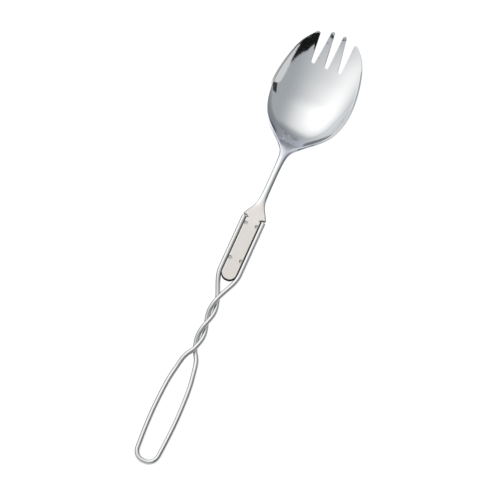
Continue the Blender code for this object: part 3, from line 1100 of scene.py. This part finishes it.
    def grind_rim(
        self,
        below: Set[bmesh.types.BMVert],
        above: Set[bmesh.types.BMVert],
        between: Sequence[bmesh.types.BMVert],
    ) -> None:
        """Turns the bowl's edge into a level land with a bevel outside it.

        Args:
            below: Points of the lower face.
            above: Points of the upper face.
            between: Points of the edge that lie in neither.
        """
        for near in between:
            beside = [edge.other_vert(near) for edge in near.link_edges]
            low = next((vert for vert in beside if vert in below), None)
            if low is None or abs(abs(low.co.x) - self.half_width(low.co.y)) > self.rim_nearness:
                continue
            for far in beside:
                ends = (edge.other_vert(far) for edge in far.link_edges)
                high = next((vert for vert in ends if vert in above), None)
                if far in below or high is None:
                    continue
                land = (low.co - high.co) * self.rim_level_share
                land.z = 0.0
                amount = self.rim_shaping(low.co.y)
                near.co = near.co.lerp(high.co + land, amount)
                far.co = far.co.lerp(high.co + self.rim_bevel_share * land, amount)

    def is_open(self, left: Band, right: Band, row: int, rows: Sequence[float]) -> bool:
        """Tells whether a cell of the half grid is a slot or lies beside the tongue.

        Args:
            left: The band of the cell's inner column.
            right: The band of its outer column.
            row: The cell's lower row.
            rows: The rows' places.

        Returns:
            True where there is no metal.
        """
        if left is Band.CENTRE or (left, right) == (Band.INNER, Band.FLANK):
            return True
        beside = Band.OUTER in (left, right)
        return beside and row + 1 < len(rows) and rows[row + 1] <= self.layout.shoulder_y

    def middle_surface(self) -> bmesh.types.BMesh:
        """Lays a grid onto half of the head's middle surface, and mirrors it.

        Returns:
            The whole middle surface, still flat.
        """
        rows, columns = self.rows(), self.columns()
        wide, long = len(columns) - 1, len(rows) + len(self.front_rows) - 1
        bm = bmesh.new()
        bmesh.ops.create_grid(bm, x_segments=wide, y_segments=long, size=1.0)
        cells = {}
        for vert in bm.verts:
            column = round((vert.co.x + 1) / 2 * wide)
            cells[vert] = (column, round((vert.co.y + 1) / 2 * long))
        unwanted = []
        for face in bm.faces:
            column = min(cells[vert][0] for vert in face.verts)
            row = min(cells[vert][1] for vert in face.verts)
            if self.is_open(columns[column][0], columns[column + 1][0], row, rows):
                unwanted.append(face)
        bmesh.ops.delete(bm, geom=unwanted, context="FACES")
        for vert in bm.verts:
            column, row = cells[vert]
            band, share = columns[column]
            y = rows[min(row, len(rows) - 1)]
            if row >= len(rows):
                y += (self.front(band, share) - y) * self.front_rows[row - len(rows)]
            x = self.column_x(band, share, y)
            vert.co = (x, y + self.notch(x, y), 0.0)
        bmesh.ops.remove_doubles(bm, verts=bm.verts[:], dist=2 * self.weld)
        everything = bm.verts[:] + bm.edges[:] + bm.faces[:]
        bmesh.ops.mirror(bm, geom=everything, axis="X", merge_dist=self.weld)
        bmesh.ops.recalc_face_normals(bm, faces=bm.faces[:])
        if sum(face.normal.z for face in bm.faces) < 0:
            bmesh.ops.reverse_faces(bm, faces=bm.faces[:])
        return bm

    def edge_gaps(self, bm: bmesh.types.BMesh) -> Dict[bmesh.types.BMVert, float]:
        """Measures how far the flat middle surface's points lie from its outline.

        Args:
            bm: The flat middle surface.

        Returns:
            The distance of each point.
        """
        rims = [edge for edge in bm.edges if edge.is_boundary]
        starts = np.array([edge.verts[0].co.xy for edge in rims])
        spans = np.array([edge.verts[1].co.xy for edge in rims]) - starts
        lengths = np.maximum((spans**2).sum(axis=1), self.least_length)
        gaps = {}
        for vert in bm.verts:
            if vert.is_boundary:
                gaps[vert] = 0.0
                continue
            offset = np.array(vert.co.xy) - starts
            share = np.clip((offset * spans).sum(axis=1) / lengths, 0, 1)
            nearest = offset - share[:, None] * spans
            gaps[vert] = float(np.sqrt((nearest**2).sum(axis=1).min()))
        return gaps

    def shape(self) -> bmesh.types.BMesh:
        """Thickens the middle surface both ways and closes its edges.

        Returns:
            The head's shape, which carries edge_gap and stake_depth at its points.
        """
        bm = self.middle_surface()
        edge_layer = bm.verts.layers.float.new("edge_gap")
        stake_layer = bm.verts.layers.float.new("stake_depth")
        for vert, gap in self.edge_gaps(bm).items():
            vert[edge_layer] = gap
        lower = bm.verts[:]
        grown = bmesh.ops.extrude_face_region(bm, geom=bm.faces[:], use_keep_orig=True)
        upper = [item for item in grown["geom"] if isinstance(item, bmesh.types.BMVert)]
        for verts, side in ((lower, -1), (upper, 1)):
            for vert in verts:
                x, y, _ = vert.co
                if side > 0:
                    x -= self.ground(x, y)
                offset = self.normal(x, y) * self.half_thickness(x, y, vert[edge_layer])
                vert.co = Vector((x, y, self.height(x, y))) + side * offset
                if side > 0:
                    dent = self.dent(x, y)
                    vert.co.z -= dent
                    vert[stake_layer] = dent / self.stake_depth
        below, above = set(lower), set(upper)
        walls = [edge for edge in bm.edges if len(below.intersection(edge.verts)) == 1]
        bmesh.ops.subdivide_edges(bm, edges=walls, cuts=2, use_grid_fill=True)
        between = [vert for vert in bm.verts if vert not in below and vert not in above]
        self.grind_rim(below, above, between)
        return bm

    def build(self, finish: HeadSteel) -> bpy.types.Object:
        """Builds and dresses the head.

        Args:
            finish: The steel's finish.

        Returns:
            The head's object.
        """
        head = steel_piece("spork_head_steel", self.shape(), finish, self.sharp_angle)
        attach(head, "root")
        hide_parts("spork_head")
        return head


@dataclass
class WireHandle:
    """One round wire: two legs, three crossings and a long loop."""

    layout: Layout
    twist_opening: float = 0.55
    fullness: float = 0.09
    crossing_gap: float = 0.3
    loop_width: float = 15.6
    loop_end_length: float = 5.6
    end_cover: float = 0.8
    end_rounding: float = 0.75
    end_room: float = 1.15
    end_rings: int = 6
    path_step: float = 0.45
    facets: int = 28
    chart_lengths: int = 120
    sharp_angle: float = 50.0
    loop_sides: Table = (
        (0.063, 0.350), (0.162, 0.650), (0.293, 0.862), (0.425, 0.958), (0.600, 1.000),
        (0.790, 0.945), (1.000, 0.810),
    )

    def __post_init__(self) -> None:
        """Works out the twist and the loop's side."""
        plan = self.layout
        self.twist_half = (plan.wire_diameter + self.twist_opening) / 2
        self.twist_lift = (plan.wire_diameter + self.crossing_gap) / 2
        self.twist_slope = self.twist_half * math.pi / plan.crossing_pitch
        reach = plan.last_crossing_y - plan.loop_end_y
        half = (self.loop_width - plan.wire_diameter) / 2
        sides = [(0.0, 0.0)] + [(along * reach, out * half) for along, out in self.loop_sides]
        self.loop_side = SmoothCurve(sides, start_slope=self.twist_slope)

    def offset(self, y: float) -> Pair:
        """Finds the strand that comes from the right leg.

        Args:
            y: Place along the handle.

        Returns:
            Its place across, and its height over the handle's plane.
        """
        plan = self.layout
        if y >= plan.shoulder_y - plan.leg_length:
            return plan.leg_place, 0.0
        if y > plan.first_crossing_y:
            share = (y - plan.first_crossing_y) / plan.merge_length
            leave = plan.merge_length * self.twist_slope * share * (1 - share) ** 2
            return leave + plan.leg_place * ease(share), self.twist_lift * (1 - ease(share))
        if y >= plan.last_crossing_y:
            turn = math.pi / 2 + math.pi * (plan.first_crossing_y - y) / plan.crossing_pitch
            return self.twist_half * math.cos(turn), self.twist_lift * math.sin(turn)
        below = plan.last_crossing_y - y
        return -self.loop_side(below), self.twist_lift * (1 - ease(below / plan.crossing_pitch))

    def path(self) -> List[Vector]:
        """Traces the wire down the right leg, round the loop and up to the left leg.

        Returns:
            Points of its centre line.
        """
        plan = self.layout
        top = plan.shoulder_y - plan.clearance + plan.notch_depth * self.end_cover
        rows = [top] + steps(top, plan.loop_end_y + self.loop_end_length, self.path_step)
        strands = {Strand.FROM_RIGHT: [], Strand.FROM_LEFT: []}
        for y in rows:
            x, lift = self.offset(y)
            for strand, points in strands.items():
                height = plan.handle_height(y) + strand.value * lift
                points.append(Vector((strand.value * x, y, height)))
        count = 2 * round(math.pi * self.loop_end_length / 2 / self.path_step)
        bend = []
        for i in range(1, 2 * count):
            across, along = plan.round_end(math.pi / 2 * min(i, 2 * count - i) / count)
            y = rows[-1] - along * self.loop_end_length
            side = -1 if i < count else 1
            x = side * self.loop_side(plan.last_crossing_y - y) * across
            bend.append(Vector((x, y, plan.handle_height(y))))
        return strands[Strand.FROM_RIGHT] + bend + strands[Strand.FROM_LEFT][::-1]

    def even_path(self) -> List[Vector]:
        """Sets the centre line's points an even step apart.

        Returns:
            The points.
        """
        points = self.path()
        runs = [(b - a).length for a, b in zip(points, points[1:])]
        marks = np.concatenate([[0.0], np.cumsum(runs)])
        even = np.linspace(0, marks[-1], round(marks[-1] / self.path_step))
        table = np.array([tuple(point) for point in points])
        return [Vector([float(np.interp(m, marks, table[:, i])) for i in range(3)]) for m in even]

    def rings(self) -> List[Tuple[Vector, Vector, float]]:
        """Places the rings that the wire is swept from, with its rounded ends.

        Returns:
            Centre, direction and radius of each ring.
        """
        points = self.even_path()
        ways = [(b - a).normalized() for a, b in zip(points[:-1], points[1:])]
        tangents = [ways[0]] + [(a + b).normalized() for a, b in zip(ways, ways[1:])] + [ways[-1]]
        radius = self.layout.wire_radius + self.fullness
        inside = [
            (point, way, radius)
            for point, way in zip(points, tangents)
            if self.end_clear(point, points)
        ]
        tip = radius - self.end_rounding
        backs, sizes = [0.0], [tip]
        for turn in quarter_turn(self.end_rings):
            backs.append(self.end_rounding * (1 - math.cos(turn)))
            sizes.append(radius - self.end_rounding * (1 - math.sin(turn)))
        caps = list(zip(backs, sizes))
        first = [(points[0] + tangents[0] * back, tangents[0], size) for back, size in caps]
        last = [(points[-1] - tangents[-1] * back, tangents[-1], size) for back, size in caps]
        return first + inside + last[::-1]

    def end_clear(self, point: Vector, points: Sequence[Vector]) -> bool:
        """Whether a point lies past the rounding of both ends."""
        room = self.end_rounding * self.end_room
        return min((point - points[0]).length, (point - points[-1]).length) > room

    def shape(self) -> bmesh.types.BMesh:
        """Sweeps a ring along the centre line and caps both ends.

        Returns:
            The wire's shape.
        """
        rings = self.rings()
        bm = bmesh.new()
        centre, way, size = rings[0]
        turn = way.to_track_quat("Z", "Y").to_matrix().to_4x4()
        made = bmesh.ops.create_circle(
            bm,
            cap_ends=False,
            segments=self.facets,
            radius=size,
            matrix=Matrix.Translation(centre) @ turn,
        )
        edges = list({edge for vert in made["verts"] for edge in vert.link_edges})
        bmesh.ops.contextual_create(bm, geom=edges)
        for (old, old_way, old_size), (new, new_way, new_size) in zip(rings, rings[1:]):
            grown = bmesh.ops.extrude_edge_only(bm, edges=edges)
            ring = [item for item in grown["geom"] if isinstance(item, bmesh.types.BMVert)]
            edges = [item for item in grown["geom"] if isinstance(item, bmesh.types.BMEdge)]
            swing = old_way.rotation_difference(new_way).to_matrix().to_4x4()
            move = Matrix.Translation(new) @ swing @ Matrix.Scale(new_size / old_size, 4)
            bmesh.ops.transform(bm, matrix=move @ Matrix.Translation(-old), verts=ring)
        bmesh.ops.contextual_create(bm, geom=edges)
        return bm

    def chart(self, mesh: bpy.types.Mesh) -> None:
        """Writes a UV map that runs round the wire and along it.

        Args:
            mesh: The wire's mesh.
        """
        layer = mesh.uv_layers.new(name="wire")
        facets, count = self.facets, len(mesh.vertices) // self.facets
        for polygon in mesh.polygons:
            columns = [mesh.loops[i].vertex_index % facets for i in polygon.loop_indices]
            wraps = max(columns) - min(columns) > 1
            for i, column in zip(polygon.loop_indices, columns):
                row = mesh.loops[i].vertex_index // facets
                round_share = (column + (facets if wraps and column == 0 else 0)) / facets
                layer.data[i].uv = (round_share, row / count * self.chart_lengths)

    def build(self, finish: DrawnWire) -> bpy.types.Object:
        """Builds and dresses the handle.

        Args:
            finish: The wire's finish.

        Returns:
            The handle's object.
        """
        wire = steel_piece("wire_handle_steel", self.shape(), finish, self.sharp_angle)
        self.chart(wire.data)
        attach(wire, "root")
        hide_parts("wire_handle")
        return wire


def sight(azimuth: float, elevation: float) -> Vector:
    """Finds a direction.

    Args:
        azimuth: From +X towards +Y, in degrees.
        elevation: Over the level, in degrees.

    Returns:
        The direction, one long.
    """
    turn, rise = math.radians(azimuth), math.radians(elevation)
    flat = math.cos(rise)
    return Vector((flat * math.cos(turn), flat * math.sin(turn), math.sin(rise)))


def bare_material(thing: bpy.types.Object) -> NodeSet:
    """Gives an object a material of its own name.

    Args:
        thing: The object.

    Returns:
        The material's node set, with no nodes yet.
    """
    material = bpy.data.materials.new(thing.name)
    thing.data.materials.append(material)
    return bare_nodes(material)


@dataclass(frozen=True)
class Card:
    """A card over the object that only its polished faces mirror.

    Its corner and the ends of the two edges that meet there are azimuths and elevations as seen
    from the aim, and the corner and both ends lie at the same distance from it.
    """

    name: str
    aim: Place
    distance: float
    corner: Pair
    first_end: Pair
    second_end: Pair
    tone: float

    def build(self) -> bpy.types.Object:
        """Makes the card.

        Returns:
            The card.
        """
        bm = bmesh.new()
        bmesh.ops.create_grid(bm, x_segments=1, y_segments=1, size=0.5)
        corner, first, second = (
            Vector(self.aim) + self.distance * sight(*place)
            for place in (self.corner, self.first_end, self.second_end)
        )
        sides = (first - corner, second - corner, Vector((0, 0, 1)))
        turn = Matrix(sides).transposed().to_4x4()
        place = Matrix.Translation(corner) @ turn @ Matrix.Translation((0.5, 0.5, 0))
        bmesh.ops.transform(bm, matrix=Matrix.Scale(MM, 4) @ place, verts=bm.verts[:])
        card = show(self.name, bm)
        nodes = bare_material(card)
        inputs = {"Color": (self.tone,) * 3 + (1,), "Strength": 1.0}
        glow = nodes.add("ShaderNodeEmission", None, inputs)
        nodes.add("ShaderNodeOutputMaterial", None, {"Surface": glow.outputs[0]})
        card.visible_camera = False
        card.visible_diffuse = False
        card.visible_shadow = False
        return card


BOWL_AIM: Place = (-9, 112, 13)


@dataclass
class Studio:
    """A pale floor in soft light, seen from above at a slant.

    A dusk is the azimuth and the elevation of a darker part of the light, and how far it darkens.
    """

    scale: float = 0.5179
    centre: Pair = (3.4588, -0.4963)
    turn: float = 66.1254
    tilt: float = 18.5
    distance: float = 1500.0
    sensor_width: float = 36.0
    clip: Pair = (0.05, 20.0)
    key: Pair = (145.6, 46.8)
    dim: float = 0.575
    gain: float = 1.255
    fall: float = 2.94
    dusks: Tuple[Place, ...] = ((88.0, 2.0, 0.38), (-42.0, 12.0, 0.55))
    dusk_ends: Pair = (0.84, 0.99)
    cool: Place = (0.955, 1.0, 1.045)
    warm: Place = (1.01, 1.0, 0.985)
    tint_ends: Pair = (0.1, 0.9)
    floor_half: float = 4.0
    floor_glow: float = 0.92
    floor_paint: float = 0.16
    cards: Tuple[Card, ...] = (
        Card("black_card", BOWL_AIM, 900, (-33.8, 65.0), (0.5, 37.4), (-99.1, 62.7), 0.012),
        Card("tip_card", BOWL_AIM, 900, (-98.8, 56.5), (-47.3, 58.8), (-104.5, 51.9), 0.012),
        Card("white_strip", (-17, 98, 12), 500, (-12.3, 50.0), (14.8, 17.0), (13.9, 4.2), 0.95),
        Card("corner_card", BOWL_AIM, 900, (-60, 69.5), (-84, 73.2), (-62, 60), 0.012),
        Card("low_card", (-18, 90, 10), 600, (4, -2), (27, -2), (4, 13), 0.06),
        Card("far_card", (0, 60, 8), 700, (66, -1), (112, -1), (66, 3.5), 0.42),
        Card("side_card", (0, -50, 8), 100, (-75, -2), (50, -2), (-75, 20), 0.15),
        Card(
            "shade_card", (-64.5, 80.3, 300), 373.0,
            (-75.55, -53.41), (-104.45, -53.41), (81.07, -53.41), 0.16,
        ),
        Card(
            "end_card", (-22, 215, 300), 312.6,
            (-108.2, -73.35), (-71.8, -73.35), (108.2, -73.35), 0.02,
        ),
    )

    def axes(self) -> Tuple[Vector, Vector, Vector]:
        """Finds the directions of the view in the object's frame.

        Returns:
            Right, up and towards the camera.
        """
        turn, tilt = math.radians(self.turn), math.radians(self.tilt)
        right = Vector((math.sin(turn), math.cos(turn), 0))
        fore = Vector((-math.cos(turn), math.sin(turn), 0))
        upward = Vector((0, 0, 1))
        up = fore * math.cos(tilt) + upward * math.sin(tilt)
        return right, up, upward * math.cos(tilt) - fore * math.sin(tilt)

    def camera(self) -> bpy.types.Object:
        """Places the camera at the photograph's viewing angle.

        Returns:
            The camera.
        """
        right, up, toward = self.axes()
        data = bpy.data.cameras.new("camera")
        data.sensor_width = self.sensor_width
        data.lens = data.sensor_width * self.distance / (PHOTO_WIDTH * self.scale)
        data.clip_start, data.clip_end = self.clip
        camera = bpy.data.objects.new("camera", data)
        place = right * self.centre[0] + up * self.centre[1] + toward * self.distance
        turn = Matrix((right, up, toward)).transposed().to_4x4()
        camera.matrix_world = Matrix.Translation(place * MM) @ turn
        bpy.context.scene.collection.objects.link(camera)
        bpy.context.scene.camera = camera
        return camera

    def world(self) -> None:
        """Makes a soft light that is brighter on one side, and white to the camera."""
        world = bpy.data.worlds.new("studio")
        bpy.context.scene.world = world
        nodes = bare_nodes(world)
        way = nodes.add("ShaderNodeTexCoord").outputs["Generated"]
        side = nodes.math("MAXIMUM", nodes.facing(way, sight(*self.key)), 0.0)
        level = self.dim + self.gain * side**self.fall
        for azimuth, elevation, depth in self.dusks:
            far = nodes.facing(way, sight(azimuth, elevation))
            level = level * (1 - depth * nodes.rise(far, self.dusk_ends))
        direct = nodes.rays("Is Camera Ray")
        strength = level + direct * (1 - level)
        tint = nodes.blend(nodes.rise(side, self.tint_ends), self.cool, self.warm)
        tone = nodes.blend(direct, tint, (1, 1, 1))
        sky = nodes.add("ShaderNodeBackground", None, {"Color": tone, "Strength": strength})
        nodes.add("ShaderNodeOutputWorld", None, {"Surface": sky.outputs[0]})

    def floor(self) -> bpy.types.Object:
        """Makes a wide white floor that keeps a soft shadow.

        Returns:
            The floor.
        """
        bm = bmesh.new()
        bmesh.ops.create_grid(bm, x_segments=1, y_segments=1, size=self.floor_half)
        floor = show("floor", bm)
        nodes = bare_material(floor)
        shown = nodes.rays("Is Camera Ray", "Is Glossy Ray", "Is Transmission Ray")
        inputs = {"Color": (1, 1, 1, 1), "Strength": shown * self.floor_glow}
        glow = nodes.add("ShaderNodeEmission", None, inputs)
        inputs = {"Color": (self.floor_paint,) * 3 + (1,)}
        paint = nodes.add("ShaderNodeBsdfDiffuse", None, inputs)
        both = nodes.add("ShaderNodeAddShader", None, {0: glow.outputs[0], 1: paint.outputs[0]})
        nodes.add("ShaderNodeOutputMaterial", None, {"Surface": both.outputs[0]})
        return floor

    def build(self) -> None:
        """Makes the camera, the light, the floor and the cards."""
        bpy.context.scene.view_settings.view_transform = "Standard"
        self.camera()
        self.world()
        self.floor()
        for card in self.cards:
            card.build()


def main() -> None:
    """Builds the studio, then the head and the handle."""
    logging.basicConfig(level=logging.INFO, format="%(name)s: %(message)s")
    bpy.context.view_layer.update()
    Studio().build()
    layout = Layout()
    for part, finish in ((SporkHead(layout), HeadSteel()), (WireHandle(layout), DrawnWire())):
        piece = part.build(finish)
        log.info("%s: %d faces", piece.name, len(piece.data.polygons))


if __name__ == "__main__":
    main()
